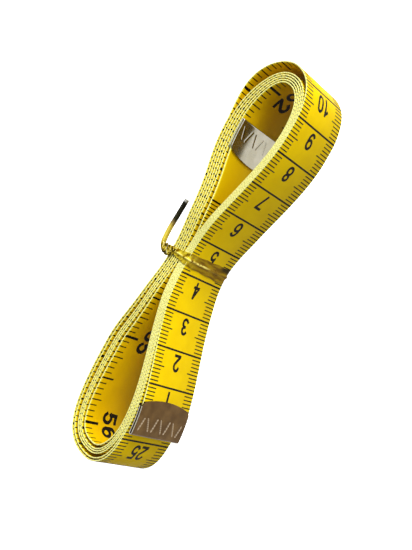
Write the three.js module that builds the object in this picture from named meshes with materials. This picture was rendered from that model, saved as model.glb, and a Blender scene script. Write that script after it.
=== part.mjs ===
// A tailor's cloth tape measure, wound flat on itself into a long hank and tied at the waist.
// Millimetres, +Z up. The hank stands on the lower edges of the tape, and its long axis lies along X.
// The near side is -Y, the far side is +Y. The origin is at the bottom centre of the whole object.

import * as THREE from 'three';

// The tape
const tapeWidth = 20;
const tapeThickness = 0.3;
const turnGap = 0.44;
const turnCount = 6;

// The two loops of the hank, on the middle line of the innermost turn, measured from the waist
const leftLoopLength = 53.7;
const leftEndOffset = -5.8;
const leftNearDepth = 10.4;
const leftNearPlace = 48;
const leftFarDepth = 2.5;
const leftFarPlace = 35.4;
const rightLoopLength = 51.7;
const rightEndOffset = -1.7;
const rightNearDepth = 7.2;
const rightNearPlace = 45.3;
const rightFarDepth = 3.1;
const rightFarPlace = 42;

// The outermost turn stands off the others round the end of the right loop
const looseTurnSlack = 1.65;

// The waist, where the tie draws the edges of the tape in
const waistPinch = 1;
const waistPinchReach = 14;

// The free ends of the tape, measured from where they bend beside the tie
const outerEndLength = 44.95;
const outerEndLift = 1;
const innerEndLength = 37.05;
const innerEndStandoff = 1.8;
const bendGap = 0.3;

// The folded metal tip on each end
const tipSideLength = 8.6;
const tipCrestLength = 10;
const tipSheet = 0.3;
const tipClearance = 0.15;

// The tie: a flat ribbon with a wire in it, twisted to itself at the far upper corner of the waist
const tieWidth = 4;
const tieThickness = 0.4;
const tieClearance = 0.35;
const tieCornerRadius = 0.6;
const tieEarLength = 0.3;
const tieEarHeight = 1.3;
const bendRadius = 0.4;
const bendClearance = 0.2;
const twistLength = 1.6;
const twistWidth = 2.2;
const strandWidth = 1;
const twistTurns = 1.25;
const tailWidth = 1.5;
const tailThickness = 0.7;
const longTailLength = 12.5;
const longTailRise = 0.8;
const shortTailLength = 1.6;

// How finely the curves are cut
const sideSteps = 7;
const roundSteps = 9;
const sweepSides = 10;
const twistSteps = 12;
const tailSteps = 10;
const archSteps = 10;
const foldSegments = 6;
const cornerSegments = 4;

// Shares used to shape the curves. A quarter of a pitch lets the strip that crosses at the waist pass
// between the two sides with the same gap on both.
const crossingShare = 0.25;
const waistHandle = 0.6;
const rightNearHandle = 0.36;
const crownHandle = 0.44;
const roundHandle = 0.5523;
const slackFrom = 0.2;
const slackTo = 0.6;
const neckShare = 0.4;

// Worked out from the sizes above
const pitch = tapeThickness + turnGap;
const bendReach = tieWidth / 2 + tieClearance;
const waistNearFace = -pitch * (turnCount + crossingShare) - tapeThickness / 2;
const waistFarFace = pitch * (turnCount - crossingShare) + tapeThickness / 2;
const tipHalfThickness = tapeThickness / 2 + tipClearance + tipSheet;

const yellowCloth = { color: 0xeecb05, roughness: 0.55, metalness: 0 };
const brownedMetal = { color: 0x7a6440, roughness: 0.4, metalness: 0.9 };
const silverMetal = { color: 0xd8d6c4, roughness: 0.3, metalness: 0.9 };
const goldFoil = { color: 0xb8932a, roughness: 0.35, metalness: 0.7 };

function namedMesh(name, geometry, finish) {
  const mesh = new THREE.Mesh(geometry, new THREE.MeshStandardMaterial(finish));
  mesh.name = name;
  return mesh;
}

// A closed body through rings of points, each ring counter-clockwise seen from the end of the run
function loft(rings) {
  const count = rings[0].length;
  const last = (rings.length - 1) * count;
  const index = [];
  for (let i = 0; i < rings.length - 1; i += 1) {
    for (let j = 0; j < count; j += 1) {
      const a = i * count + j;
      const b = i * count + (j + 1) % count;
      index.push(a, b, a + count, b, b + count, a + count);
    }
  }
  for (let j = 1; j < count - 1; j += 1) {
    index.push(0, j + 1, j, last, last + j, last + j + 1);
  }
  const geometry = new THREE.BufferGeometry().setFromPoints(rings.flat());
  geometry.setIndex(index);
  geometry.computeVertexNormals();
  return geometry;
}

// One loop of the innermost turn: out from the waist, round its end and back, as four curves.
// The tape leaves the waist on the near side of the left loop and on the far side of the right loop.
function loopCurves(side, length, endOffset, leavePlace, leaveDepth, backPlace, backDepth, backHandle) {
  const at = (u, v) => new THREE.Vector2(side * u, v);
  const leave = side * leaveDepth;
  const back = -side * backDepth;
  const towards = (from, to, share) => from + share * (to - from);
  const curve = (...points) => new THREE.CubicBezierCurve(...points);
  return [
    curve(
      at(0, 0), at(waistHandle * leavePlace, 0),
      at((1 - crownHandle) * leavePlace, leave), at(leavePlace, leave),
    ),
    curve(
      at(leavePlace, leave), at(towards(leavePlace, length, roundHandle), leave),
      at(length, towards(endOffset, leave, roundHandle)), at(length, endOffset),
    ),
    curve(
      at(length, endOffset), at(length, towards(endOffset, back, roundHandle)),
      at(towards(backPlace, length, roundHandle), back), at(backPlace, back),
    ),
    curve(
      at(backPlace, back), at((1 - crownHandle) * backPlace, back),
      at(backHandle * backPlace, 0), at(0, 0),
    ),
  ];
}

// Stations along one loop: a point, the outward direction and the distance from the loop's start
function loopStations(curves, start) {
  const stations = [];
  let along = start;
  for (const curve of curves) {
    const steps = curve === curves[0] || curve === curves[3] ? sideSteps : roundSteps;
    for (let i = 0; i < steps; i += 1) {
      const point = curve.getPoint(i / steps);
      const tangent = curve.getTangent(i / steps);
      if (stations.length > 0) {
        along += point.distanceTo(stations.at(-1).point);
      }
      stations.push({ point, outward: new THREE.Vector2(-tangent.y, tangent.x), along });
    }
  }
  const end = along + curves[3].getPoint(1).distanceTo(stations.at(-1).point);
  return { stations, end };
}

const leftLoop = loopStations(
  loopCurves(
    -1, leftLoopLength, leftEndOffset,
    leftNearPlace, leftNearDepth, leftFarPlace, leftFarDepth, waistHandle,
  ),
  0,
);
const rightLoop = loopStations(
  loopCurves(
    1, rightLoopLength, rightEndOffset,
    rightFarPlace, rightFarDepth, rightNearPlace, rightNearDepth, rightNearHandle,
  ),
  leftLoop.end,
);
const innermostLength = rightLoop.end;

// The spiral grows by one pitch a turn
function spiralPoint(station, turn, extra) {
  const offset = pitch * (turn + station.along / innermostLength + crossingShare) + extra;
  return station.point.clone().addScaledVector(station.outward, offset);
}

function looseTurnExtra(station) {
  const share = (station.along - leftLoop.end) / (rightLoop.end - leftLoop.end);
  const bump = THREE.MathUtils.clamp((share - slackFrom) / (slackTo - slackFrom), 0, 1);
  return looseTurnSlack * Math.sin(Math.PI * bump) ** 2;
}

// A free end follows its side of the hank from the waist, drawing away from it, and is straight in its tip
function freeEnd(stations, turn, drawAway, length) {
  const reach = bendReach + length;
  const followed = reach - tipCrestLength;
  const line = [];
  let run = 0;
  for (const station of stations) {
    const share = Math.abs(station.point.x) / reach;
    const point = spiralPoint(station, turn, drawAway * share ** 2);
    const step = line.length > 0 ? point.distanceTo(line.at(-1)) : 0;
    if (run + step >= followed) {
      const before = line.at(-1);
      const direction = point.clone().sub(before).normalize();
      line.push(before.clone().addScaledVector(direction, followed - run));
      line.push(before.clone().addScaledVector(direction, reach - run));
      break;
    }
    run += step;
    line.push(point);
  }
  return line;
}

// The middle line of the whole tape, from its inner end to its outer end
const innerRun = freeEnd(rightLoop.stations, -1, -innerEndStandoff, innerEndLength);
const outerRun = freeEnd(leftLoop.stations, turnCount, outerEndLift, outerEndLength);
const tapeLine = innerRun.slice(1).reverse();
for (let turn = 0; turn < turnCount; turn += 1) {
  for (const station of leftLoop.stations) {
    tapeLine.push(spiralPoint(station, turn, 0));
  }
  for (const station of rightLoop.stations) {
    tapeLine.push(spiralPoint(station, turn, turn === turnCount - 1 ? looseTurnExtra(station) : 0));
  }
}
tapeLine.push(...outerRun);

const tapeRuns = [0];
for (let i = 1; i < tapeLine.length; i += 1) {
  tapeRuns.push(tapeRuns[i - 1] + tapeLine[i].distanceTo(tapeLine[i - 1]));
}
const tapeLength = tapeRuns.at(-1);

function pointAtRun(run) {
  const next = Math.max(1, tapeRuns.findIndex((value) => value >= run));
  const share = (run - tapeRuns[next - 1]) / (tapeRuns[next] - tapeRuns[next - 1]);
  return tapeLine[next - 1].clone().lerp(tapeLine[next], share);
}

function tapeStretch(from, to) {
  const inside = tapeLine.filter((point, i) => tapeRuns[i] > from && tapeRuns[i] < to);
  return [pointAtRun(from), ...inside, pointAtRun(to)];
}

// The tie draws the edges in at the waist, so that the hank stands on its loops
function edgeInset(x) {
  const share = Math.min(1, Math.abs(x) / waistPinchReach);
  return waistPinch * Math.cos(Math.PI / 2 * share) ** 2;
}

// A strip of tape standing on edge along a line
function tapeStrip(line) {
  const rings = line.map((point, i) => {
    const before = line[Math.max(0, i - 1)];
    const after = line[Math.min(line.length - 1, i + 1)];
    const tangent = after.clone().sub(before).normalize();
    const half = new THREE.Vector2(-tangent.y, tangent.x).multiplyScalar(tapeThickness / 2);
    const low = edgeInset(point.x);
    const high = tapeWidth - low;
    return [
      new THREE.Vector3(point.x + half.x, point.y + half.y, low),
      new THREE.Vector3(point.x + half.x, point.y + half.y, high),
      new THREE.Vector3(point.x - half.x, point.y - half.y, high),
      new THREE.Vector3(point.x - half.x, point.y - half.y, low),
    ];
  });
  return loft(rings);
}

// Least clear distance from any point of the tape's line to a stretch of it further along
function leastGap() {
  const nearAlong = 5;
  let least = Infinity;
  const segment = new THREE.Line3();
  const nearest = new THREE.Vector3();
  const spatial = tapeLine.map((point) => new THREE.Vector3(point.x, point.y, 0));
  for (let i = 0; i < spatial.length; i += 1) {
    for (let j = 1; j < spatial.length; j += 1) {
      const apart = Math.min(Math.abs(tapeRuns[j] - tapeRuns[i]), Math.abs(tapeRuns[j - 1] - tapeRuns[i]));
      if (apart > nearAlong) {
        segment.set(spatial[j - 1], spatial[j]).closestPointToPoint(spatial[i], true, nearest);
        least = Math.min(least, nearest.distanceTo(spatial[i]));
      }
    }
  }
  return least - tapeThickness;
}

// A tip: sheet metal folded round the end of the tape, its two free edges arched.
// It is made with the fold at x = 0, the tape running along +X in it and its width along Z.
function tipGeometry() {
  const inner = tapeThickness / 2 + tipClearance;
  const outer = tipHalfThickness;
  const section = new THREE.Shape();
  section.moveTo(tipSideLength, outer);
  section.lineTo(0, outer);
  section.absarc(0, 0, outer, Math.PI / 2, 3 * Math.PI / 2, false);
  section.lineTo(tipSideLength, -outer);
  section.lineTo(tipSideLength, -inner);
  section.lineTo(0, -inner);
  section.lineTo(0, inner);
  section.lineTo(tipSideLength, inner);
  const geometry = new THREE.ExtrudeGeometry(section, {
    depth: tapeWidth, steps: archSteps, bevelEnabled: false, curveSegments: foldSegments,
  });
  const position = geometry.getAttribute('position');
  for (let i = 0; i < position.count; i += 1) {
    if (position.getX(i) > tipSideLength / 2) {
      const arch = Math.sin(Math.PI * position.getZ(i) / tapeWidth);
      position.setX(i, tipSideLength + (tipCrestLength - tipSideLength) * arch);
    }
  }
  geometry.computeVertexNormals();
  return geometry;
}

function tipMesh(name, end, before, finish) {
  const mesh = namedMesh(name, tipGeometry(), finish);
  const direction = before.clone().sub(end).normalize();
  const fold = end.clone().addScaledVector(direction, -tipClearance);
  mesh.position.set(fold.x, fold.y, 0);
  mesh.rotation.z = Math.atan2(direction.y, direction.x);
  return mesh;
}

// A closed outline with its corners rounded, from corners that each have a radius
function roundedOutline(corners, path) {
  corners.forEach(({ y, z, radius }, i) => {
    const corner = new THREE.Vector2(y, z);
    const toward = (other) => {
      const point = new THREE.Vector2(other.y, other.z);
      return corner.clone().addScaledVector(point.sub(corner).normalize(), radius);
    };
    const start = toward(corners.at(i - 1));
    const end = toward(corners[(i + 1) % corners.length]);
    if (i === 0) {
      path.moveTo(start.x, start.y);
    } else {
      path.lineTo(start.x, start.y);
    }
    path.quadraticCurveTo(corner.x, corner.y, end.x, end.y);
  });
  path.closePath();
  return path;
}

// The ribbon round the waist. Its two ends meet in an ear at the far upper corner.
const bandNear = waistNearFace - tieClearance;
const bandFar = waistFarFace + tieClearance;
const bandLow = waistPinch - tieClearance;
const bandHigh = tapeWidth - waistPinch + tieClearance;
const earEnd = bandFar + tieThickness + tieEarLength;
const earTop = bandHigh + tieThickness;

function tieBandGeometry() {
  const outerRadius = tieCornerRadius + tieThickness;
  const earRadius = tieThickness / 2;
  const outline = roundedOutline([
    { y: bandNear - tieThickness, z: bandLow - tieThickness, radius: outerRadius },
    { y: bandFar + tieThickness, z: bandLow - tieThickness, radius: outerRadius },
    { y: bandFar + tieThickness, z: earTop - tieEarHeight, radius: earRadius },
    { y: earEnd, z: earTop - tieEarHeight, radius: earRadius },
    { y: earEnd, z: earTop, radius: earRadius },
    { y: bandNear - tieThickness, z: earTop, radius: outerRadius },
  ], new THREE.Shape());
  outline.holes.push(roundedOutline([
    { y: bandNear, z: bandLow, radius: tieCornerRadius },
    { y: bandNear, z: bandHigh, radius: tieCornerRadius },
    { y: bandFar, z: bandHigh, radius: tieCornerRadius },
    { y: bandFar, z: bandLow, radius: tieCornerRadius },
  ], new THREE.Path()));
  const geometry = new THREE.ExtrudeGeometry(outline, {
    depth: tieWidth, bevelEnabled: false, curveSegments: cornerSegments,
  });
  geometry.translate(0, 0, -tieWidth / 2);
  return geometry.applyMatrix4(new THREE.Matrix4().makeBasis(
    new THREE.Vector3(0, 1, 0), new THREE.Vector3(0, 0, 1), new THREE.Vector3(1, 0, 0),
  ));
}

// A ring of points round the Y axis at a distance along it, from a radius for each angle
function ringAlongY(y, centre, radiusAt) {
  return Array.from({ length: sweepSides }, (_, j) => {
    const angle = 2 * Math.PI * j / sweepSides;
    const radius = radiusAt(angle);
    return new THREE.Vector3(
      centre.x + radius * Math.sin(angle), y, centre.z + radius * Math.cos(angle),
    );
  });
}

// Two strands twisted together, as a bar with two lobes that turn along it, necked where it bends
function twistGeometry() {
  const mean = (twistWidth + strandWidth) / 4;
  const lobe = (twistWidth - strandWidth) / 4;
  const length = bendRadius + twistLength;
  const rings = [];
  for (let i = 0; i <= twistSteps; i += 1) {
    const y = length * i / twistSteps - bendRadius;
    const neck = Math.min(1, neckShare + (y + bendRadius) / (2 * bendRadius));
    const turned = 2 * Math.PI * twistTurns * i / twistSteps;
    const lobes = (angle) => neck * (mean - lobe * Math.cos(2 * (angle - turned)));
    rings.push(ringAlongY(y, new THREE.Vector3(), lobes));
  }
  return loft(rings);
}

// A cut end of the tie, its ribbon folded round the wire, from a rounded root at the origin along +Y
function tailGeometry(length, rise) {
  const rings = [];
  for (let i = 0; i <= tailSteps; i += 1) {
    const share = i / tailSteps;
    const y = share * (length + bendRadius) - bendRadius;
    const neck = Math.min(1, neckShare + (y + bendRadius) / (2 * bendRadius));
    const centre = new THREE.Vector3(0, 0, rise * share ** 2);
    const flat = (angle) => {
      const across = Math.cos(angle) / (tailWidth / 2);
      const through = Math.sin(angle) / (tailThickness / 2);
      return neck / Math.hypot(across, through);
    };
    rings.push(ringAlongY(y, centre, flat));
  }
  return loft(rings);
}

// Cut the tape where its free ends bend, just beside the tie
const innerBendRun = innerEndLength;
const outerBendRun = tapeLength - outerEndLength;
const model = new THREE.Group();

model.add(namedMesh(
  'tape_hank', tapeStrip(tapeStretch(innerBendRun + bendGap, outerBendRun - bendGap)), yellowCloth,
));
model.add(namedMesh('tape_outer_end', tapeStrip(tapeStretch(outerBendRun, tapeLength)), yellowCloth));
model.add(namedMesh('tape_inner_end', tapeStrip(tapeStretch(0, innerBendRun)), yellowCloth));
model.add(tipMesh('outer_end_tip', tapeLine.at(-1), tapeLine.at(-2), brownedMetal));
model.add(tipMesh('inner_end_tip', tapeLine[0], tapeLine[1], silverMetal));
model.add(namedMesh('tie_band', tieBandGeometry(), goldFoil));

// The twisted end of the tie folds at its root, and the long tail bends where the twist ends
const twistGroup = new THREE.Group();
twistGroup.position.set(0, earEnd + bendClearance + bendRadius, earTop - tieEarHeight / 2);
twistGroup.add(namedMesh('tie_twist', twistGeometry(), goldFoil));
model.add(twistGroup);

const tailBend = twistLength + bendClearance + bendRadius;
const tailSpacing = tailThickness / 2 + bendClearance;
const longTail = namedMesh('tie_long_tail', tailGeometry(longTailLength, longTailRise), goldFoil);
longTail.position.set(tailSpacing + bendRadius, tailBend, 0);
longTail.rotation.z = -Math.PI / 2;
twistGroup.add(longTail);

const shortTail = namedMesh('tie_short_tail', tailGeometry(shortTailLength, 0), goldFoil);
shortTail.position.set(-tailSpacing, tailBend, 0);
twistGroup.add(shortTail);

// Stand the object with the bottom centre of its box at the origin
model.updateMatrixWorld(true);
const box = new THREE.Box3().setFromObject(model, true);
const centre = box.getCenter(new THREE.Vector3());
model.position.set(-centre.x, -centre.y, -box.min.z);
model.updateMatrixWorld(true);

const show = (label, point) => console.log(label, point.toArray().map((value) => value.toFixed(3)).join(' '));
const flat = (point) => new THREE.Vector3(point.x, point.y, 0).add(model.position);
console.log('tape length', tapeLength.toFixed(1));
console.log('least gap of the tape to itself', leastGap().toFixed(3));
show('box size', box.getSize(new THREE.Vector3()));
show('waist', model.position);
show('outer end bend', flat(pointAtRun(outerBendRun)));
show('inner end bend', flat(pointAtRun(innerBendRun)));
show('twist fold', twistGroup.getWorldPosition(new THREE.Vector3()));
show('long tail bend', longTail.getWorldPosition(new THREE.Vector3()));

export default model;
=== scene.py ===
"""A tailor's cloth tape measure, wound into a flat hank and tied at its waist.

The tape is cut and printed flat, then wound. The tips are folded from sheet metal over its two ends, and the
tie is bent round the waist and twisted to itself. Metres, +Z up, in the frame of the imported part.
"""

import math

import bmesh
import bpy
import numpy as np
from mathutils import Matrix, Vector, noise


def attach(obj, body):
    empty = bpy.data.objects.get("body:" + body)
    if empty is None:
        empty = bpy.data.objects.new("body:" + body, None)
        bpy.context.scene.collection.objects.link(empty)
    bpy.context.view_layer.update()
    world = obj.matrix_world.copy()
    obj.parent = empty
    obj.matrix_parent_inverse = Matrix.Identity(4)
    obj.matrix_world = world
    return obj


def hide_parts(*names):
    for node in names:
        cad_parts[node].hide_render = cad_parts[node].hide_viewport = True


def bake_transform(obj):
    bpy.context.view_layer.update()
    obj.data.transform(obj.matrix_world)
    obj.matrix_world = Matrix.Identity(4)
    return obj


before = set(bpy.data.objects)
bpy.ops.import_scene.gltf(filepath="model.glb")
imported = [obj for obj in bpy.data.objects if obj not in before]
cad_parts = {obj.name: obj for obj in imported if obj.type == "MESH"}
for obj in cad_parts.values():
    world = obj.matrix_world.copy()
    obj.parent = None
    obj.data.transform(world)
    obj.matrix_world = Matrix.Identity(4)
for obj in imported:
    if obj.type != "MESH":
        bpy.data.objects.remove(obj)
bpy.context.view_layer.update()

# The studio
# A plain white table top under two large soft lamps, in a room that is darker on the left, seen from above
# the near side of the hank. The camera's place and lens come from the centimetre lines on the tape.
mm = 0.001
waist = Vector((0.36, 3.857, 0)) * mm

camera_place = waist + Vector((13.998, -150.871, 197.75)) * mm
camera_right = Vector((0.4995, -0.6613, -0.5596))
camera_up = Vector((0.8638, 0.4290, 0.2642))
camera_back = Vector((0.0654, -0.6154, 0.7855))
camera_lens = bpy.data.cameras.new("camera")
camera_lens.lens = 58.45
camera_lens.sensor_width = 36
camera_lens.clip_start = 0.01
camera = bpy.data.objects.new("camera", camera_lens)
camera.matrix_world = Matrix.LocRotScale(
    camera_place,
    Matrix((camera_right, camera_up, camera_back)).transposed().to_quaternion(),
    None,
)
bpy.context.scene.collection.objects.link(camera)
bpy.context.scene.camera = camera
bpy.context.scene.view_settings.view_transform = "Standard"

lamp_width = 0.4
lamp_aim = Vector((0, 0, 0.01))


def lamp(name, place, power):
    light = bpy.data.lights.new(name, "AREA")
    light.size = lamp_width
    light.energy = power
    holder = bpy.data.objects.new(name, light)
    turned = (lamp_aim - Vector(place)).to_track_quat("-Z", "Y")
    holder.matrix_world = Matrix.LocRotScale(Vector(place), turned, None)
    bpy.context.scene.collection.objects.link(holder)


lamp("key_lamp", (0.7, -0.19, 0.52), 9.6)
lamp("front_lamp", (0.2, -0.8, 0.25), 0.9)


class Value:
    """A socket of a shader that can be used in sums."""

    def __init__(self, tree, socket=None):
        self.tree = tree
        self.socket = socket

    def node(self, kind, settings=None, output=0, **inputs):
        added = self.tree.nodes.new(kind)
        for name, value in (settings or {}).items():
            setattr(added, name, value)
        for name, value in inputs.items():
            key = int(name[1:]) if name[0] == "i" and name[1:].isdigit() else name.replace("_", " ")
            socket = added.inputs[key]
            if isinstance(value, Value):
                self.tree.links.new(value.socket, socket)
            else:
                socket.default_value = value
        return Value(self.tree, added.outputs[output])

    def maths(self, operation, first, second=0.0):
        return self.node("ShaderNodeMath", {"operation": operation}, i0=first, i1=second)

    def __add__(self, other):
        return self.maths("ADD", self, other)

    __radd__ = __add__

    def __mul__(self, other):
        return self.maths("MULTIPLY", self, other)

    __rmul__ = __mul__

    def __sub__(self, other):
        return self.maths("SUBTRACT", self, other)

    def wave(self):
        return self.maths("SINE", self)

    def over(self, low, high):
        """A smooth step from 0 at the low value to 1 at the high one."""
        return self.node(
            "ShaderNodeMapRange",
            {"clamp": True, "interpolation_type": "SMOOTHSTEP"},
            Value=self,
            From_Min=low,
            From_Max=high,
        )

    def mix(self, low, high):
        """One colour at 0 and another at 1."""
        return self.node(
            "ShaderNodeMix", {"data_type": "RGBA"}, output=2, i0=self, i6=low, i7=high
        )

    def ramp(self, *stops):
        """A run of colours, each with the value where it stands."""
        made = self.node("ShaderNodeValToRGB", Fac=self)
        elements = made.socket.node.color_ramp.elements
        while len(elements) < len(stops):
            elements.new(1)
        for element, (place, colour) in zip(elements, stops):
            element.position = place
            element.color = (*colour, 1)
        return made

    def parts(self):
        """The x, y and z of a vector."""
        split = self.node("ShaderNodeSeparateXYZ", Vector=self)
        return [Value(self.tree, socket) for socket in split.socket.node.outputs]

    def mottle(self, scale, detail, **settings):
        """A noise over the places that a vector gives."""
        return self.node("ShaderNodeTexNoise", Vector=self, Scale=scale, Detail=detail, **settings)

    def on_object(self):
        return self.node("ShaderNodeTexCoord", output=3)

    def on_map(self, name):
        return self.node("ShaderNodeUVMap", {"uv_map": name})


def finish_of(name, roughness, metallic=0.0, **fixed):
    """A new finish: its shader, and a value to start sums from."""
    material = bpy.data.materials.new(name)
    material.use_nodes = True
    shader = material.node_tree.nodes["Principled BSDF"]
    shader.inputs["Roughness"].default_value = roughness
    shader.inputs["Metallic"].default_value = metallic
    for socket, value in fixed.items():
        shader.inputs[socket.replace("_", " ")].default_value = value
    return material, shader, Value(material.node_tree)


def feed(shader, socket, value):
    shader.id_data.links.new(value.socket, shader.inputs[socket])


def grey(level):
    return (level, level, level, 1)


table_half = 3
table_mesh = bmesh.new()
bmesh.ops.create_grid(table_mesh, x_segments=1, y_segments=1, size=table_half)
table_data = bpy.data.meshes.new("table_top")
table_mesh.to_mesh(table_data)
table_mesh.free()
table_top = bpy.data.objects.new("table_top", table_data)
bpy.context.scene.collection.objects.link(table_top)
table_white, shader, start = finish_of("white_table", 0.6)
grain = start.node("ShaderNodeTexNoise", Scale=40.0, Detail=3.0)
feed(shader, "Base Color", grain.mix(grey(0.93), grey(0.95)))
shader.inputs["Emission Color"].default_value = grey(1)
shader.inputs["Emission Strength"].default_value = 1
table_data.materials.append(table_white)
table_top.visible_diffuse = False

surroundings = bpy.data.worlds.new("surroundings")
surroundings.use_nodes = True
side, _, height = Value(surroundings.node_tree).node("ShaderNodeTexCoord").parts()
from_right = side.over(-0.85, -0.15)
low_light = from_right.mix(grey(0.05), grey(0.27))
high_light = from_right.mix(grey(0.12), grey(0.64))
room_light = surroundings.node_tree.nodes["Background"]
feed(room_light, "Color", height.over(-0.15, 0.15).mix(low_light, high_light))
bpy.context.scene.world = surroundings

# The winding of the tape
# The tape is wound clockwise from inside to outside, six turns round two loops that share the waist.
# Every turn lies outside the last one, close at the waist and looser round the ends and the far side.
tape_width = 20 * mm
tape_thick = 0.34 * mm
turns = 6
curve_steps = 160


def reach_of(line):
    """The distance along a line to each of its points."""
    return np.concatenate([[0], np.cumsum(np.linalg.norm(np.diff(line, axis=0), axis=1))])


def unit(vectors):
    return vectors / np.linalg.norm(vectors, axis=1)[:, None]


def eased(t):
    """A share from 0 to 1 that starts and stops gently."""
    return t**2 * (3 - 2 * t)


def bow(first, first_pull, second_pull, second):
    """A smooth curve between two points, drawn by its two pulls."""
    t = np.linspace(0, 1, curve_steps + 1)[:-1, None]
    return (
        (1 - t) ** 3 * first
        + 3 * (1 - t) ** 2 * t * first_pull
        + 3 * (1 - t) * t**2 * second_pull
        + t**3 * second
    )


def half_loop(root, end, crown, from_root, to_crown, past_crown, to_end):
    """From the waist past the crown of one side to the end of a loop. Each pull is a share of its stretch."""
    root, end, crown = np.array(root), np.array(end), np.array(crown)
    out, curl = crown * (1, 0), end - crown
    side = bow(root, root + from_root * out, crown - to_crown * out, crown)
    bend = bow(crown, crown + past_crown * curl * (1, 0), end - to_end * curl * (0, 1), end)
    return np.vstack([side, bend, end]) * mm


near_waist, far_waist = (0, -0.8), (0, -0.45)
left_end, right_end = (-53.45, -6.93), (51.53, -2.86)
left_near = half_loop(near_waist, left_end, (-45.1, -11.95), 0.369, 0.319, 0.413, 0.657)
left_far = half_loop(far_waist, left_end, (-28.6, 1.63), 0.7, 0.2, 0.85, 0.752)
right_far = half_loop(far_waist, right_end, (39.0, 3.87), 0.7, 0.405, 0.35, 0.627)
right_near = half_loop(near_waist, right_end, (40.3, -9.5), 0.315, 0.318, 0.609, 0.657)
base = np.vstack([left_near[:-1], left_far[:0:-1], right_far[:-1], right_near[::-1]])
base_run = reach_of(base)
share = base_run / base_run[-1]
heading = unit(np.gradient(base, base_run, axis=0))
outward = np.column_stack([-heading[:, 1], heading[:, 0]])
waist_far = 4 * curve_steps

# How far apart the turns lie at the waist, the crowns and the ends, in the order of the winding. Each turn
# climbs by the pitch at the waist as it goes round, and so meets the next.
turn_pitch = np.array([0.36, 0.45, 0.85, 0.95, 0.71, 0.85, 0.632, 0.36, 0.36]) * mm
first_climb = 0.25
stops = share[::curve_steps]
span = np.clip(np.searchsorted(stops, share, side="right") - 1, 0, len(stops) - 2)
within = eased((share - stops[span]) / (stops[span + 1] - stops[span]))
pitch = turn_pitch[span] * (1 - within) + turn_pitch[span + 1] * within
lead = turn_pitch[0] * (first_climb + share)

# Round the left loop the turns lie together in groups, with wider gaps between them
wide_gaps = np.array([1.5, 0.4, 0.5, 1.8, 0.8])
least_gap = 0.02 * mm
grouping_share = 0.08
grouped = np.concatenate([[0], np.cumsum(wide_gaps - 1), [0, 0]])
from_waist = np.clip(np.minimum(share, share[waist_far] - share) / grouping_share, 0, 1)
room = (pitch - tape_thick - least_gap) * eased(from_waist)

# The outermost turn stands off the others round the end of the right loop
slack_rise = 3.1 * mm
slack_from, slack_span = 0.339, 0.223
on_right = np.clip((share - share[waist_far]) / (1 - share[waist_far]), 0, 1)
slack = slack_rise * np.sin(np.pi * np.clip((on_right - slack_from) / slack_span, 0, 1)) ** 2


def turn_line(turn, extra=0):
    return base + outward * (lead + pitch * turn + room * grouped[turn] + extra)[:, None]


# The outer end lies on the near side of the left loop and lifts off it towards its tip. The inner end crosses
# the waist, stands off the far side of the right loop and comes back to it, so its centimetre face shows.
outer_end_length = 47.3 * mm
inner_end_length = 39.4 * mm
past_end = 3 * mm
flap_rise = 1.5 * mm
flap_line = turn_line(turns, flap_rise * (reach_of(turn_line(turns)) / outer_end_length) ** 3)
flap_line = flap_line[reach_of(flap_line) < outer_end_length + past_end]

stand_off_rise = 1.3 * mm
stand_off_grows = 9 * mm
stand_off_fades = 22 * mm
inner_line = turn_line(-1)[waist_far:]
inner_reach = reach_of(inner_line)
apart = eased(np.clip(inner_reach / stand_off_grows, 0, 1))
stand_off = stand_off_rise * apart * np.exp(-inner_reach / stand_off_fades)
inner_line = inner_line - outward[waist_far:] * stand_off[:, None]
inner_line = inner_line[inner_reach < inner_end_length + past_end]

winding = [flap_line[::-1]]
for turn in range(turns - 1, -1, -1):
    winding.append(turn_line(turn, slack if turn == turns - 1 else 0)[::-1][1:])
winding = np.vstack([*winding, inner_line[1:]])
tape_run = reach_of(winding)
flap_root = reach_of(flap_line)[-1]
inner_root = tape_run[-1] - reach_of(inner_line)[-1]

# Distances along the tape are read on its centimetre scale, whose zero is 3.7 mm in from the fold of the
# outer tip. The cloth stops a little short of the fold in both tips.
outer_split = 43.6 * mm
short_of_fold = 0.4 * mm
tape_run -= flap_root - outer_split
inner_split = inner_root - flap_root + outer_split
tape_start = outer_split - outer_end_length + short_of_fold
tape_stop = inner_split + inner_end_length - short_of_fold
tape_heading = unit(np.gradient(winding, tape_run, axis=0))
waist_pinch = 0.9 * mm
pinch_reach = 13 * mm


def wind(flat):
    """Winds a flat mesh: x is along the tape, y across it, z from its middle to its centimetre face."""
    co = np.array([v.co for v in flat.verts])
    place = [np.interp(co[:, 0], tape_run, winding[:, k]) for k in (0, 1)]
    turn = [np.interp(co[:, 0], tape_run, tape_heading[:, k]) for k in (0, 1)]
    size = np.hypot(*turn)
    x = place[0] + turn[1] / size * co[:, 2]
    y = place[1] - turn[0] / size * co[:, 2]
    drawn_in = waist_pinch * np.clip(1 - (place[0] / pinch_reach) ** 2, 0, 1) ** 2
    z = tape_width / 2 + (co[:, 1] - tape_width / 2) * (1 - 2 * drawn_in / tape_width)
    for vert, point in zip(flat.verts, np.column_stack([x, y, z])):
        vert.co = point
    bmesh.ops.translate(flat, verts=flat.verts, vec=waist)


# The tape
# One strip of glass-fibre cloth with a smooth yellow coat on both faces, cut to 20 mm. The coat is painted
# paler along its edges, as painted light in the gaps between the turns, and painted darker on the inch face
# and at the inner end, as painted shade. It is in three pieces that meet under the tie.
tape_step = 0.5 * mm
edge_round = 0.09 * mm
edge_slope = 0.2
on_edge = 1e-6
weave_rate = 9.0
width_mm = tape_width / mm
# The coat is painted paler towards both edges, as painted light: the glow of the narrow gaps between the
# turns.
edge_light_start, edge_light_full = 0.65, 0.15
edge_painted_light_tone = (0.92, 0.82, 0.03, 1)
# The last of the tape, inside the right loop, is painted a darker tone on both faces, as painted shade.
inner_end_shade_from, inner_end_shade_full = 1478, 1490


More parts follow.
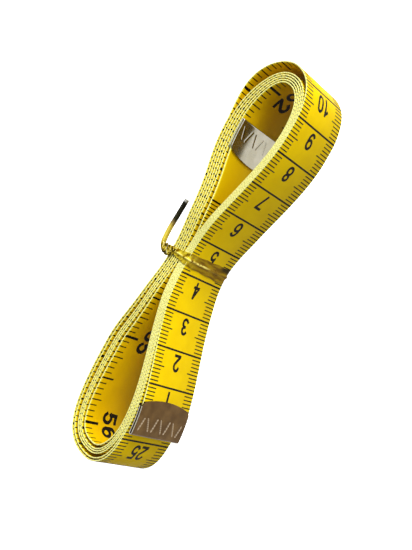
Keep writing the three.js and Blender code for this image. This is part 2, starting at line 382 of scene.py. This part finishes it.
def coat_of(name, deep, clear, inner_end_painted_shade):
    """A coat, clouded between two tones, with a darker tone painted at the inner end of the tape as painted
    shade.
    """
    finish, shader, start = finish_of(name, 0.5, Specular_IOR_Level=0.02)
    place = start.on_map("flat")
    along, across, _ = place.parts()
    threads = (along * weave_rate).wave() * (across * weave_rate).wave()
    cloud = place.mottle(0.18, 4.0, Roughness=0.6)
    speck = place.mottle(3.0, 2.0)
    tone = along.over(inner_end_shade_from, inner_end_shade_full).mix(cloud.over(0.3, 0.7).mix(deep, clear), inner_end_painted_shade)
    # Painted light: a paler coat along both edges
    painted_edge_light = across.over(width_mm - edge_light_start, width_mm - edge_light_full) + across.over(edge_light_start, edge_light_full)
    feed(shader, "Base Color", painted_edge_light.mix(tone, edge_painted_light_tone))
    feed(shader, "Roughness", 0.42 + 0.1 * cloud + 0.05 * speck)
    relief = start.node(
        "ShaderNodeBump", Strength=0.12, Distance=0.00004, Height=threads * 0.5 + speck * 0.6
    )
    feed(shader, "Normal", relief)
    return finish


outer_coat = coat_of(
    "centimetre_face_coat",
    deep=(0.85, 0.57, 0.0004, 1),
    clear=(0.91, 0.63, 0.0008, 1),
    inner_end_painted_shade=(0.6, 0.4, 0.0006, 1),
)
# The inch face, which faces into the loops, is painted darker than the centimetre face, as painted shade.
inch_coat_with_painted_shade = coat_of(
    "inch_face_coat_painted_darker",
    deep=(0.71, 0.45, 0.0004, 1),
    clear=(0.77, 0.5, 0.0008, 1),
    inner_end_painted_shade=(0.52, 0.33, 0.0004, 1),
)

cut_edge, shader, start = finish_of("cut_edge", 0.6, Specular_IOR_Level=0.05)
place = start.on_map("flat")
thread_ends = (place.parts()[0] * weave_rate).wave()
pale = (place.mottle(2.2, 3.0) + 0.05 * thread_ends).over(0.3, 0.7)
feed(shader, "Base Color", pale.mix((0.66, 0.61, 0.15, 1), (0.9, 0.89, 0.36, 1)))


def thicken(sheet, thick, floor):
    """Gives a flat sheet its thickness, with its lower face at a given height."""
    bmesh.ops.solidify(sheet, geom=sheet.faces[:], thickness=thick)
    lowest = min(v.co.z for v in sheet.verts)
    bmesh.ops.translate(sheet, verts=sheet.verts, vec=(0, 0, floor - lowest))


def sheet_of(steps, middle, length, width, thick):
    """A flat sheet, cut to steps along and across it, with half its thickness above its middle."""
    sheet = bmesh.new()
    bmesh.ops.create_grid(
        sheet,
        x_segments=steps[0],
        y_segments=steps[1],
        size=0.5,
        matrix=Matrix.Translation((*middle, 0)) @ Matrix.Diagonal((length, width, 1, 1)),
    )
    thicken(sheet, thick, -thick / 2)
    return sheet


def round_off(sheet, edges, radius, steps):
    bmesh.ops.bevel(
        sheet, geom=edges, offset=radius, segments=steps, profile=0.5, affect="EDGES", material=-1
    )
    bmesh.ops.recalc_face_normals(sheet, faces=sheet.faces)


def lay_map(sheet, name, place):
    """A map of a mesh, from the place that each of its points has on the map."""
    layer = sheet.loops.layers.uv.new(name)
    for face in sheet.faces:
        for loop in face.loops:
            loop[layer].uv = place(loop.vert)


def millimetres(vert):
    return vert.co.x / mm, vert.co.y / mm


def piece(name, shape, *finishes, smooth=True):
    data = bpy.data.meshes.new(name)
    for face in shape.faces:
        face.smooth = smooth
    shape.to_mesh(data)
    shape.free()
    made = bpy.data.objects.new(name, data)
    bpy.context.scene.collection.objects.link(made)
    for finish in finishes:
        data.materials.append(finish)
    return made


def tape_strip(name, first, last):
    steps = max(4, round((last - first) / tape_step)), 1
    strip = sheet_of(steps, ((first + last) / 2, tape_width / 2), last - first, tape_width, tape_thick)
    long_edges = [
        e
        for e in strip.edges
        if abs(e.verts[0].co.x - e.verts[1].co.x) > 0.1 * tape_step
        and all(abs(abs(v.co.y - tape_width / 2) - tape_width / 2) < on_edge for v in e.verts)
    ]
    round_off(strip, long_edges, edge_round, 2)
    lay_map(strip, "flat", millimetres)
    for face in strip.faces:
        on_inch_face = face.calc_center_median().z < 0
        face.material_index = 1 if abs(face.normal.y) > edge_slope else 2 if on_inch_face else 0
    wind(strip)
    return piece(name, strip, outer_coat, cut_edge, inch_coat_with_painted_shade)


tape_hank = tape_strip("tape_turns", outer_split, inner_split)
tape_outer = tape_strip("tape_free_end", tape_start, outer_split)
tape_inner = tape_strip("tape_inside_end", inner_split, tape_stop)

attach(tape_hank, "hank")
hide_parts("tape_hank")
inner_split - outer_split
outer_bend = waist + Vector((-1.8, -3.4, 10)) * mm, waist + Vector((-6.5, -4.6, 10)) * mm
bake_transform(tape_outer)
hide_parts("tape_outer_end")
inner_bend = waist + Vector((1.8, 0, 10)) * mm, waist + Vector((6.5, 0.3, 10)) * mm
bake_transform(tape_inner)
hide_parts("tape_inner_end")
tape_stop - inner_split

# The centimetre scale
# Black ink printed on the outer face and dried to a thin film: a line across at each centimetre, millimetre
# marks along both edges, and a number before each line, read across the tape with its top towards zero.
centimetres = 150
ink_proud = 0.015 * mm
ink_sunk = 0.03 * mm
edge_gap = 0.05 * mm
pen_step = 0.4 * mm
oval_step = 30
centimetre_face, inch_face = 1, -1

ink, shader, start = finish_of("black_ink", 0.5, Specular_IOR_Level=0.05)
worn = start.on_object().mottle(900.0, 3.0)
feed(shader, "Base Color", worn.over(0.45, 0.8).mix((0.006, 0.004, 0.001, 1), (0.016, 0.011, 0.002, 1)))
feed(shader, "Roughness", 0.42 + 0.2 * worn)


def mark(scale, at, width, low, high, face):
    """A bar of ink across the tape on one of its faces."""
    bmesh.ops.create_cube(
        scale,
        size=1,
        matrix=Matrix.Translation(
            (at, (low + high) / 2, face * (tape_thick / 2 + (ink_proud - ink_sunk) / 2))
        )
        @ Matrix.Diagonal((width, high - low, ink_proud + ink_sunk, 1)),
    )


def edge_marks(scale, at, width, upper, lower, face):
    mark(scale, at, width, tape_width - upper, tape_width - edge_gap, face)
    mark(scale, at, width, edge_gap, lower, face)


def oval(across, up, wide, tall, first, last):
    """Points round part of an oval, between two angles in degrees."""
    turn = np.radians(np.linspace(first, last, round(abs(last - first) / oval_step) + 1))
    return list(zip(across + wide * np.cos(turn), up + tall * np.sin(turn)))


# The routes of the pen for each figure, in a box of one by one
six = [oval(0.5, 0.3, 0.5, 0.3, 180, -180), [(0, 0.3), (0, 0.6), *oval(0.5, 0.7, 0.5, 0.3, 180, 40)]]
figures = {
    "0": [[*oval(0.5, 0.7, 0.5, 0.3, 0, 180), *oval(0.5, 0.3, 0.5, 0.3, 180, 360), (1, 0.7)]],
    "1": [[(0.7, 0), (0.7, 1)], [(0.62, 0.92), (0.2, 0.74)]],
    "2": [[*oval(0.5, 0.71, 0.5, 0.29, 160, -30), (0.12, 0.12)], [(0, 0), (1, 0)]],
    "3": [oval(0.48, 0.76, 0.46, 0.24, 150, -90), oval(0.48, 0.26, 0.52, 0.26, 90, -150)],
    "4": [[(0.68, 0), (0.68, 1)], [(0.6, 0.9), (0.06, 0.36)], [(0, 0.28), (1, 0.28)]],
    "5": [[(0.92, 1), (0.14, 1)], [(0.14, 1), (0.07, 0.54)], oval(0.47, 0.31, 0.53, 0.31, 140, -150)],
    "6": six,
    "7": [[(0, 1), (1, 1)], [(0.92, 0.86), (0.34, 0)]],
    "8": [oval(0.5, 0.77, 0.44, 0.23, 90, -270), oval(0.5, 0.27, 0.5, 0.27, 90, -270)],
    "9": [[(1 - across, 1 - up) for across, up in route] for route in six],
}


def pen_stroke(route, weight):
    """A flat stroke of ink along a route, closed in itself where the route comes back to its start."""
    points = [route[0]]
    for begin, stop in zip(route[:-1], route[1:]):
        pieces = max(1, math.ceil(np.linalg.norm(stop - begin) / pen_step))
        points.extend(begin + (stop - begin) * k / pieces for k in range(1, pieces + 1))
    points = np.array(points)
    ahead = np.gradient(points, axis=0)
    closed = np.linalg.norm(points[0] - points[-1]) < 1e-9
    if closed:
        ahead[0] = ahead[-1] = points[1] - points[-2]
    ahead = unit(ahead)
    if not closed:
        points[0] -= ahead[0] * weight / 2
        points[-1] += ahead[-1] * weight / 2
    beside = np.column_stack([-ahead[:, 1], ahead[:, 0]]) * weight
    stroke = bmesh.new()
    bmesh.ops.create_grid(stroke, x_segments=len(points) - 1, y_segments=2, size=0.5)
    for vert in stroke.verts:
        k = round((vert.co.x + 0.5) * (len(points) - 1))
        vert.co = Vector((*(points[k] + beside[k] * vert.co.y), 0))
    bmesh.ops.remove_doubles(stroke, verts=stroke.verts, dist=1e-8)
    thicken(stroke, ink_proud + ink_sunk, -ink_sunk)
    bmesh.ops.recalc_face_normals(stroke, faces=stroke.faces)
    return stroke


def type_set(wide, tall, weight):
    """The ten figures at one size, each as a mesh with its lower left corner at the origin."""
    cast = {}
    for figure, routes in figures.items():
        cast[figure] = bpy.data.meshes.new("figure_" + figure)
        whole = bmesh.new()
        for route in routes:
            stroke = pen_stroke(np.array(route) * (wide - weight, tall - weight) + weight / 2, weight)
            stroke.to_mesh(cast[figure])
            stroke.free()
            whole.from_mesh(cast[figure])
        whole.to_mesh(cast[figure])
        whole.free()
    return cast


def number(scale, text, cast, wide, space, place, turned):
    """A number set from its figures and centred on its place."""
    full = len(text) * wide + (len(text) - 1) * space
    for k, figure in enumerate(text):
        before = len(scale.verts)
        scale.from_mesh(cast[figure])
        scale.verts.ensure_lookup_table()
        added = scale.verts[before:]
        bmesh.ops.translate(scale, verts=added, vec=(k * (wide + space) - full / 2, 0, 0))
        bmesh.ops.transform(scale, verts=added, matrix=Matrix.Translation(place) @ turned)


def print_scale(name, units, draw, cast):
    """Draws one scale, unit by unit, on the three stretches of the tape, and clears its type away."""
    proof = bpy.data.meshes.new("proof")
    for suffix, first, last, bend in (
        ("_turns", outer_split, inner_split, None),
        ("_free_end", tape_start, outer_split, ("outer_end", outer_bend)),
        ("_inside_end", inner_split, tape_stop, ("inner_end", inner_bend)),
    ):
        scale = bmesh.new()
        for unit_before in range(units):
            block = bmesh.new()
            draw(block, unit_before, first, last)
            block.to_mesh(proof)
            block.free()
            scale.from_mesh(proof)
        wind(scale)
        made = piece(name + suffix, scale, ink, smooth=False)
        if bend:
            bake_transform(made)
        else:
            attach(made, "hank")
    for spent in (proof, *cast.values()):
        bpy.data.meshes.remove(spent)


# The width of each mark and its length at the upper and the lower edge, and the setting of the numbers
centimetre_line = 0.5 * mm
half_mark = 0.31 * mm, 4.65 * mm, 5.1 * mm
millimetre_mark = 0.3 * mm, 3.45 * mm, 3.9 * mm
centimetre_wide, centimetre_space = 2.75 * mm, 0.45 * mm
centimetre_figures = type_set(centimetre_wide, 4.75 * mm, 0.78 * mm)
centimetre_before, centimetre_across = 0.9 * mm, 10.4 * mm
centimetre_turned = Matrix.Rotation(math.pi / 2, 4, "Z")


def centimetre_scale(scale, unit_before, first, last):
    for tick in range(unit_before * 10 + 1, unit_before * 10 + 11):
        at = tick * mm
        if not first <= at < last:
            continue
        if tick % 10 == 0:
            mark(scale, at, centimetre_line, edge_gap, tape_width - edge_gap, centimetre_face)
        else:
            edge_marks(scale, at, *(millimetre_mark if tick % 5 else half_mark), centimetre_face)
    at = (unit_before + 1) * 10 * mm - centimetre_before
    if first <= at < last:
        number(
            scale,
            str(unit_before + 1),
            centimetre_figures,
            centimetre_wide,
            centimetre_space,
            (at, centimetre_across, tape_thick / 2),
            centimetre_turned,
        )


print_scale("centimetre_scale", centimetres, centimetre_scale, centimetre_figures)

# The inch scale
# The same ink on the inner face: a heavy short line at each inch, finer marks at each sixteenth along both
# edges, and bold numbers centred on their lines, read along the tape. It starts a little before the other.
inches = 60
inch = 25.4 * mm
inch_zero = -3.6 * mm
inch_stop = 1500 * mm
inch_marks = {
    16: (0.75 * mm, 5.2 * mm, 5.2 * mm),
    8: (0.5 * mm, 4.6 * mm, 4.8 * mm),
    4: (0.32 * mm, 3.8 * mm, 4.2 * mm),
    1: (0.3 * mm, 2.7 * mm, 3.2 * mm),
}
inch_wide, inch_space = 3.5 * mm, 0.5 * mm
inch_figures = type_set(inch_wide, 5.8 * mm, 1.05 * mm)
inch_across = 13.4 * mm
inch_turned = Matrix.Rotation(math.pi, 4, "X")


def inch_scale(scale, unit_before, first, last):
    last = min(last, inch_stop)
    for tick in range(unit_before * 16 + 1, unit_before * 16 + 17):
        at = inch_zero + tick * inch / 16
        if first <= at < last:
            size = next(size for sixteenths, size in inch_marks.items() if tick % sixteenths == 0)
            edge_marks(scale, at, *size, inch_face)
    at = inch_zero + (unit_before + 1) * inch
    if first <= at < last:
        number(
            scale,
            str(unit_before + 1),
            inch_figures,
            inch_wide,
            inch_space,
            (at, inch_across, -tape_thick / 2),
            inch_turned,
        )


print_scale("inch_scale", inches, inch_scale, inch_figures)

# The metal tips
# A plated sheet folded over each end of the tape and pressed flat on both faces, with a straight fold at the
# end, a curved front edge and bare cut sides. Short slanted grooves pressed into both leaves grip the cloth.
tip_length = 10 * mm
tip_side = 8.6 * mm
tip_sheet = 0.26 * mm
tip_clear = 0.06 * mm
tip_bend = tape_thick / 2 + tip_clear + tip_sheet / 2
tip_low = 0.03 * mm
tip_high = tape_width + 0.4 * mm
tip_corner = 1.2 * mm
tip_round = 0.06 * mm
tip_steps = 132, 88
sharp_angle = 1.2
side_slope = 0.6
groove_depth = 0.11 * mm
groove_half = 0.24 * mm
groove_reach = 1.9 * mm
groove_place = 3.6 * mm
groove_count = 7
groove_leans = -0.3, 0.42
groove_margin = 0.8


def tip(name, end, direction, *finishes):
    half = tip_length + (math.pi / 2 - 1) * tip_bend
    width, width_middle = tip_high - tip_low, (tip_low + tip_high) / 2
    cap = sheet_of(tip_steps, (0, width_middle), 2 * half, width, tip_sheet)
    rim = [e for e in cap.edges if len(e.link_faces) == 2 and e.calc_face_angle() > sharp_angle]
    round_off(cap, rim, tip_round, 2)
    for face in cap.faces:
        face.material_index = 1 if abs(face.normal.y) > side_slope else 0
    co = np.array([v.co for v in cap.verts])
    run = np.abs(co[:, 0])
    leaf = np.sign(co[:, 0])

    # The grooves, which lean to one side and the other by turns
    pressed = np.zeros(len(co))
    from_groove_ends = np.clip((groove_reach - np.abs(run - groove_place)) / groove_half, 0, 1)
    for place in range(groove_count):
        lean = groove_leans[place % 2]
        middle = tip_low + width * (place + groove_margin) / (groove_count - 1 + 2 * groove_margin)
        beside = np.abs(co[:, 1] - middle - lean * (run - groove_place))
        pressed = np.maximum(pressed, np.clip(1 - beside / groove_half, 0, 1) * from_groove_ends)
    lift = tip_bend + co[:, 2] - groove_depth * pressed * (co[:, 2] > 0)
    cap.verts.index_update()
    # How deeply each point is pressed, which places the painted tone on the slopes of the grooves
    lay_map(cap, "groove_press", lambda vert: (pressed[vert.index], 0))

    # The curved front edge and the fold
    arc = tip_bend * math.pi / 2
    bulge = 1 - ((co[:, 1] - width_middle) / (tip_high - width_middle)) ** 2
    to_side = np.clip(tip_corner - np.minimum(co[:, 1] - tip_low, tip_high - co[:, 1]), 0, tip_corner)
    rounded = tip_corner - np.sqrt(tip_corner**2 - to_side**2)
    front = tip_side + (tip_length - tip_side) * bulge - rounded
    angle = np.clip(run, 0, arc) / tip_bend
    past = np.clip(run - arc, 0, None) * (front - tip_bend) / (half - arc)
    depth = tip_bend - lift * np.cos(angle) + past
    height = leaf * lift * np.sin(angle)
    for vert, x, z in zip(cap.verts, depth, height):
        vert.co = (end + direction * x, vert.co.y, z * direction)
    bmesh.ops.recalc_face_normals(cap, faces=cap.faces)
    wind(cap)
    return piece(name, cap, *finishes)


def plated(name, dark, light, groove_slope_tone, smoothest, roughest):
    """A brushed and stained plate, painted another tone on the slopes of its grooves: lighter on the browned
    plate, as painted glints, and darker on the bright one.
    """
    finish, shader, start = finish_of(name, 0.3, 1.0)
    spread = start.on_object()
    brushed = start.node("ShaderNodeMapping", Vector=spread, Scale=(900, 900, 90)).mottle(4.0, 3.0)
    stain = spread.mottle(260.0, 4.0)
    groove_press = start.on_map("groove_press").parts()[0]
    groove_slopes = groove_press.over(0.05, 0.3) * groove_press.over(0.75, 0.4)
    feed(shader, "Base Color", groove_slopes.mix(stain.over(0.3, 0.75).mix(dark, light), groove_slope_tone))
    feed(shader, "Roughness", smoothest + (roughest - smoothest) * brushed)
    relief = start.node("ShaderNodeBump", Strength=0.15, Distance=0.00002, Height=brushed)
    feed(shader, "Normal", relief)
    return finish


browned = plated(
    "browned_plate",
    dark=(0.05, 0.024, 0.004, 1),
    light=(0.085, 0.046, 0.012, 1),
    groove_slope_tone=(0.27, 0.21, 0.14, 1),
    smoothest=0.28,
    roughest=0.42,
)
bright = plated(
    "bright_plate",
    dark=(0.41, 0.4, 0.32, 1),
    light=(0.52, 0.51, 0.44, 1),
    groove_slope_tone=(0.3, 0.28, 0.22, 1),
    smoothest=0.08,
    roughest=0.16,
)
bare = plated(
    "bare_cut_metal",
    dark=(0.8, 0.76, 0.66, 1),
    light=(0.92, 0.9, 0.84, 1),
    groove_slope_tone=(0.9, 0.9, 0.9, 1),
    smoothest=0.25,
    roughest=0.4,
)

outer_tip = tip("outer_tip_cap", tape_start - short_of_fold, 1, browned, bare)
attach(outer_tip, "outer_end")
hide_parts("outer_end_tip")
inner_tip = tip("inner_tip_cap", tape_stop + short_of_fold, -1, bright, bare)
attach(inner_tip, "inner_end")
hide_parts("inner_end_tip")

# The tie's film and wire round the waist
# A strip of clear gold film with a thin wire along its middle, bent tight round the waist, with a painted
# highlight in places along the wire. It is spread on the near face and drawn together over the top edges,
# where its ends go to the twist.
film_thick = 0.1 * mm
film_steps = 200, 26
wire_rise = 0.34 * mm
wire_half = 0.36 * mm
edge_wave = 0.04
pucker_rise = 0.06 * mm
off_faces = 0.05 * mm
off_edges = 0.06 * mm
near_face = winding[np.argmin(abs(tape_run - outer_split)), 1] - tape_thick / 2 - off_faces
far_face = turn_line(turns - 1)[waist_far, 1] + tape_thick / 2 + off_faces
lower_face = waist_pinch - off_edges
upper_face = tape_width - waist_pinch + off_edges


def smooth_route(points, step=0.1 * mm, rounds=3):
    """An even run of points along a route whose corners are rounded, and its length."""
    route = np.array(points, float)
    for _ in range(rounds):
        cut = np.empty((2 * len(route) - 2, 3))
        cut[0::2] = route[:-1] * 0.75 + route[1:] * 0.25
        cut[1::2] = route[:-1] * 0.25 + route[1:] * 0.75
        route = np.vstack([route[:1], cut, route[-1:]])
    run = reach_of(route)
    even = np.linspace(0, run[-1], max(8, int(run[-1] / step)))
    return np.column_stack([np.interp(even, run, route[:, k]) for k in range(3)]), run[-1]


def follow(flat, route, across):
    """Bends a straight mesh along a route: x along it, y to the side given, z off its face."""
    run = reach_of(route)
    ahead = unit(np.gradient(route, run, axis=0))
    off = unit(np.cross(ahead, np.array(across, float)))
    side = np.cross(off, ahead)
    co = np.array([v.co for v in flat.verts])

    def at(table):
        return np.column_stack([np.interp(co[:, 0], run, table[:, k]) for k in range(3)])

    moved = at(route) + at(side) * co[:, 1:2] + at(off) * co[:, 2:3]
    for vert, point in zip(flat.verts, moved):
        vert.co = point
    bmesh.ops.translate(flat, verts=flat.verts, vec=waist)


def film_finish(name):
    """A crinkled film with no colour yet, its crinkles, and the places along and across it on its map."""
    finish, shader, start = finish_of(
        name, 0.3, 0.2, Specular_IOR_Level=0.05, Specular_Tint=(0.6, 0.45, 0.06, 1)
    )
    crinkle = start.on_object().mottle(900.0, 3.0, Roughness=0.55)
    feed(shader, "Roughness", 0.18 + 0.25 * crinkle)
    relief = start.node("ShaderNodeBump", Strength=0.45, Distance=0.00012, Height=crinkle)
    feed(shader, "Normal", relief)
    along, across, _ = start.on_map("flat").parts()
    return finish, shader, crinkle, along, across


# The film is streaked, with painted light where it lies over the top edges, a painted highlight along the
# wire and painted shade at its foot on the near face
gold_film, shader, crinkle, along, across = film_finish("gold_film")
streak = along.node("ShaderNodeCombineXYZ", X=along * 0.25, Y=across * 1.4).mottle(1.0, 3.0)
tone = streak.over(0.35, 0.65).mix((0.14, 0.072, 0.0004, 1), (0.29, 0.18, 0.001, 1))
# Painted light where the film lies over the top edges
top_painted_light = along.over(38.0, 46.0) * crinkle.over(0.35, 0.6)
tone = top_painted_light.mix(tone, (0.7, 0.55, 0.03, 1))
# Painted highlight along the wire
wire_painted_highlight = across.over(-0.36, -0.1) * across.over(0.36, 0.1) * along.over(33.0, 37.0)
tone = (wire_painted_highlight * crinkle.over(0.36, 0.56)).mix(tone, (0.9, 0.78, 0.18, 1))
# Painted shade at the foot of the film on the near face
foot_painted_shade = across.over(-0.3, -1.4) * along.over(30.5, 28.0)
feed(shader, "Base Color", foot_painted_shade.mix(tone, (0.03, 0.018, 0.001, 1)))

corner = film_thick / 2
to_corner = 1.2 * mm
film_route, film_length = smooth_route(
    [
        (0, far_face + 0.9 * mm, upper_face + 0.05 * mm),
        (0, far_face + 0.35 * mm, upper_face - 0.2 * mm),
        (0, far_face + corner, upper_face - 1.6 * mm),
        (0, far_face + corner, 12 * mm),
        (0, far_face + corner, lower_face + to_corner),
        (0, far_face + corner, lower_face - corner),
        (0, far_face - to_corner, lower_face - corner),
        (0, near_face + to_corner, lower_face - corner),
        (0, near_face - corner, lower_face - corner),
        (0, near_face - corner, lower_face + to_corner),
        (0, near_face - corner, 10 * mm),
        (0, near_face - corner, upper_face - to_corner),
        (0, near_face - corner, upper_face + corner),
        (0, near_face + to_corner, upper_face + corner),
        (0, far_face - 1.0 * mm, upper_face + corner),
        (0, far_face + 0.2 * mm, upper_face + 0.25 * mm),
        (0, far_face + 0.9 * mm, upper_face + 0.3 * mm),
    ]
)
film_places = [0, 2, 6, 24, 28, 44, 46.5, film_length / mm]
film_widths = [1.4, 2.4, 3.8, 4.5, 4.5, 3.5, 2.4, 1.5]
film = sheet_of(film_steps, (film_length / 2, 0), film_length, 1, film_thick)
bmesh.ops.recalc_face_normals(film, faces=film.faces)
for vert in film.verts:
    run, beside, outside = vert.co.x / mm, 2 * vert.co.y, vert.co.z > 0
    wide = np.interp(run, film_places, film_widths) * mm
    vert.co.y = beside * wide / 2 * (1 + edge_wave * math.sin(1.1 * run + beside))
    pucker = pucker_rise * math.sin(0.9 * run + 3 * beside) * beside**2
    rise = wire_rise * math.exp(-((vert.co.y / wire_half) ** 2)) if outside else 0
    vert.co.z += rise + max(0, pucker)
lay_map(film, "flat", millimetres)
follow(film, film_route, (-1, 0, 0))
film = piece("tie_film", film, gold_film)
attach(film, "hank")
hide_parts("tie_band")

# The tie's twist
# The two ends of the tie, bunched to narrow strands, twisted round each other and crushed to a lumpy knot
# beside the far upper edge.
twist_start = 1.7 * mm
twist_stop = 6.9 * mm
twist_length = twist_stop - twist_start
twist_height = 18.95 * mm
strand_off = 0.62 * mm
strand_half = 0.55 * mm, 0.72 * mm
strand_turns = 1.9
strand_steps = 90
girth_least, girth_more = 0.75, 0.55
coarse_lump, coarse_rate = 0.3, 1300
fine_lump, fine_rate = 0.14, 3100
twist_flat = 0.85
twist_sway = 0.7 * mm
twist_root_rise = 0.9 * mm

crushed_film, shader, crinkle, _, _ = film_finish("crushed_film")
# The crushed film is painted in random spots from near black to pale gold, as painted glints and dark
# reflections.
glint_spots = crinkle.on_object().mottle(1100.0, 2.0)
crushed_painted_glints = glint_spots.ramp(
    (0.4, (0.03, 0.02, 0.001)),
    (0.48, (0.2, 0.13, 0.005)),
    (0.56, (0.6, 0.47, 0.03)),
    (0.63, (1.0, 0.9, 0.4)),
)
feed(shader, "Base Color", crushed_painted_glints)

twist = bmesh.new()
for half_turn in (0, math.pi):
    ring = bmesh.ops.create_circle(
        twist,
        segments=20,
        radius=1,
        matrix=Matrix.Rotation(half_turn, 4, "Y")
        @ Matrix.Translation((strand_off, 0, 0))
        @ Matrix.Rotation(math.pi / 2, 4, "X")
        @ Matrix.Diagonal((*strand_half, 1, 1)),
    )["verts"]
    rim = list({e for v in ring for e in v.link_edges})
    first_cap = bmesh.ops.contextual_create(twist, geom=rim)["faces"]
    bmesh.ops.spin(
        twist,
        geom=ring + rim + first_cap,
        cent=(0, 0, 0),
        axis=(0, 1, 0),
        dvec=(0, twist_length / strand_steps, 0),
        angle=strand_turns * 2 * math.pi,
        steps=strand_steps,
        use_duplicate=False,
    )
bmesh.ops.recalc_face_normals(twist, faces=twist.faces)
for vert in twist.verts:
    along = vert.co.y / twist_length
    girth = girth_least + girth_more * math.sin(math.pi * (0.1 + 0.8 * along))
    lump = coarse_lump * noise.noise(vert.co * coarse_rate) + fine_lump * noise.noise(vert.co * fine_rate)
    vert.co.x *= girth + lump
    vert.co.z *= twist_flat * (girth + lump)
    vert.co.x -= twist_sway * math.sin(2.6 * along)
    vert.co.z += twist_root_rise * (1 - along) ** 2
bmesh.ops.translate(twist, verts=twist.verts, vec=waist + Vector((0, twist_start, twist_height)))
twist = piece("tie_twisted_strands", twist, crushed_film)
waist + Vector((0, far_face + 0.2 * mm, twist_height))
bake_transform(twist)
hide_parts("tie_twist")

# The tie's tails
# One end of the tie stays long and lies beside the hank. Its film is painted with a bright band as a painted
# highlight, near black towards the cut end as a painted dark reflection, and pale at the very end as a
# painted highlight. The other end is a short stub behind the twist.
tail_steps = 60, 1
tail_round = 0.42

tail_film, shader, crinkle, along, _ = film_finish("tail_film")
# Along the tail: a painted highlight near the root, a painted dark reflection towards the cut end and a
# painted highlight at the very end
tail_painted_reflections = (along + 0.12 * (crinkle - 0.5)).ramp(
    (0.1, (0.3, 0.2, 0.01)),
    (0.24, (0.75, 0.6, 0.07)),
    (0.46, (0.7, 0.55, 0.08)),
    (0.54, (0.25, 0.18, 0.06)),
    (0.62, (0.03, 0.03, 0.015)),
    (0.93, (0.012, 0.012, 0.008)),
    (0.97, (0.5, 0.5, 0.46)),
)
feed(shader, "Base Color", tail_painted_reflections)


def tail(name, route, wide, thick, taper):
    """A strand along a route in millimetres from the waist."""
    path, length = smooth_route(np.array(route) * mm)
    strand = sheet_of(tail_steps, (length / 2, 0), length, wide, thick)
    sharp = [e for e in strand.edges if e.calc_face_angle(0) > sharp_angle]
    round_off(strand, sharp, tail_round * thick, 3)
    lay_map(strand, "flat", lambda vert: (vert.co.x / length, vert.co.y / wide))
    for vert in strand.verts:
        vert.co.y *= 1 - taper * vert.co.x / length
    follow(strand, path, (0, 0, 1))
    return piece(name, strand, tail_film)


long_tail = tail(
    "tie_long_end",
    [
        (-1.6, 5.4, 19.0),
        (-0.4, 7.0, 19.1),
        (1.6, 7.5, 19.1),
        (4.6, 7.65, 19.15),
        (8.2, 7.4, 19.2),
        (13.4, 7.2, 19.3),
    ],
    wide=1.6 * mm,
    thick=0.95 * mm,
    taper=0.1,
)
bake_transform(long_tail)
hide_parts("tie_long_tail")

short_tail = tail(
    "tie_short_end",
    [
        (-0.2, 6.2, 19.0),
        (-0.9, 6.8, 18.6),
        (-1.5, 6.4, 17.6),
        (-1.8, 5.6, 16.6),
    ],
    wide=1.3 * mm,
    thick=0.55 * mm,
    taper=0.2,
)
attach(short_tail, "tie_twisted_end")
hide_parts("tie_short_tail")

bpy.context.view_layer.update()
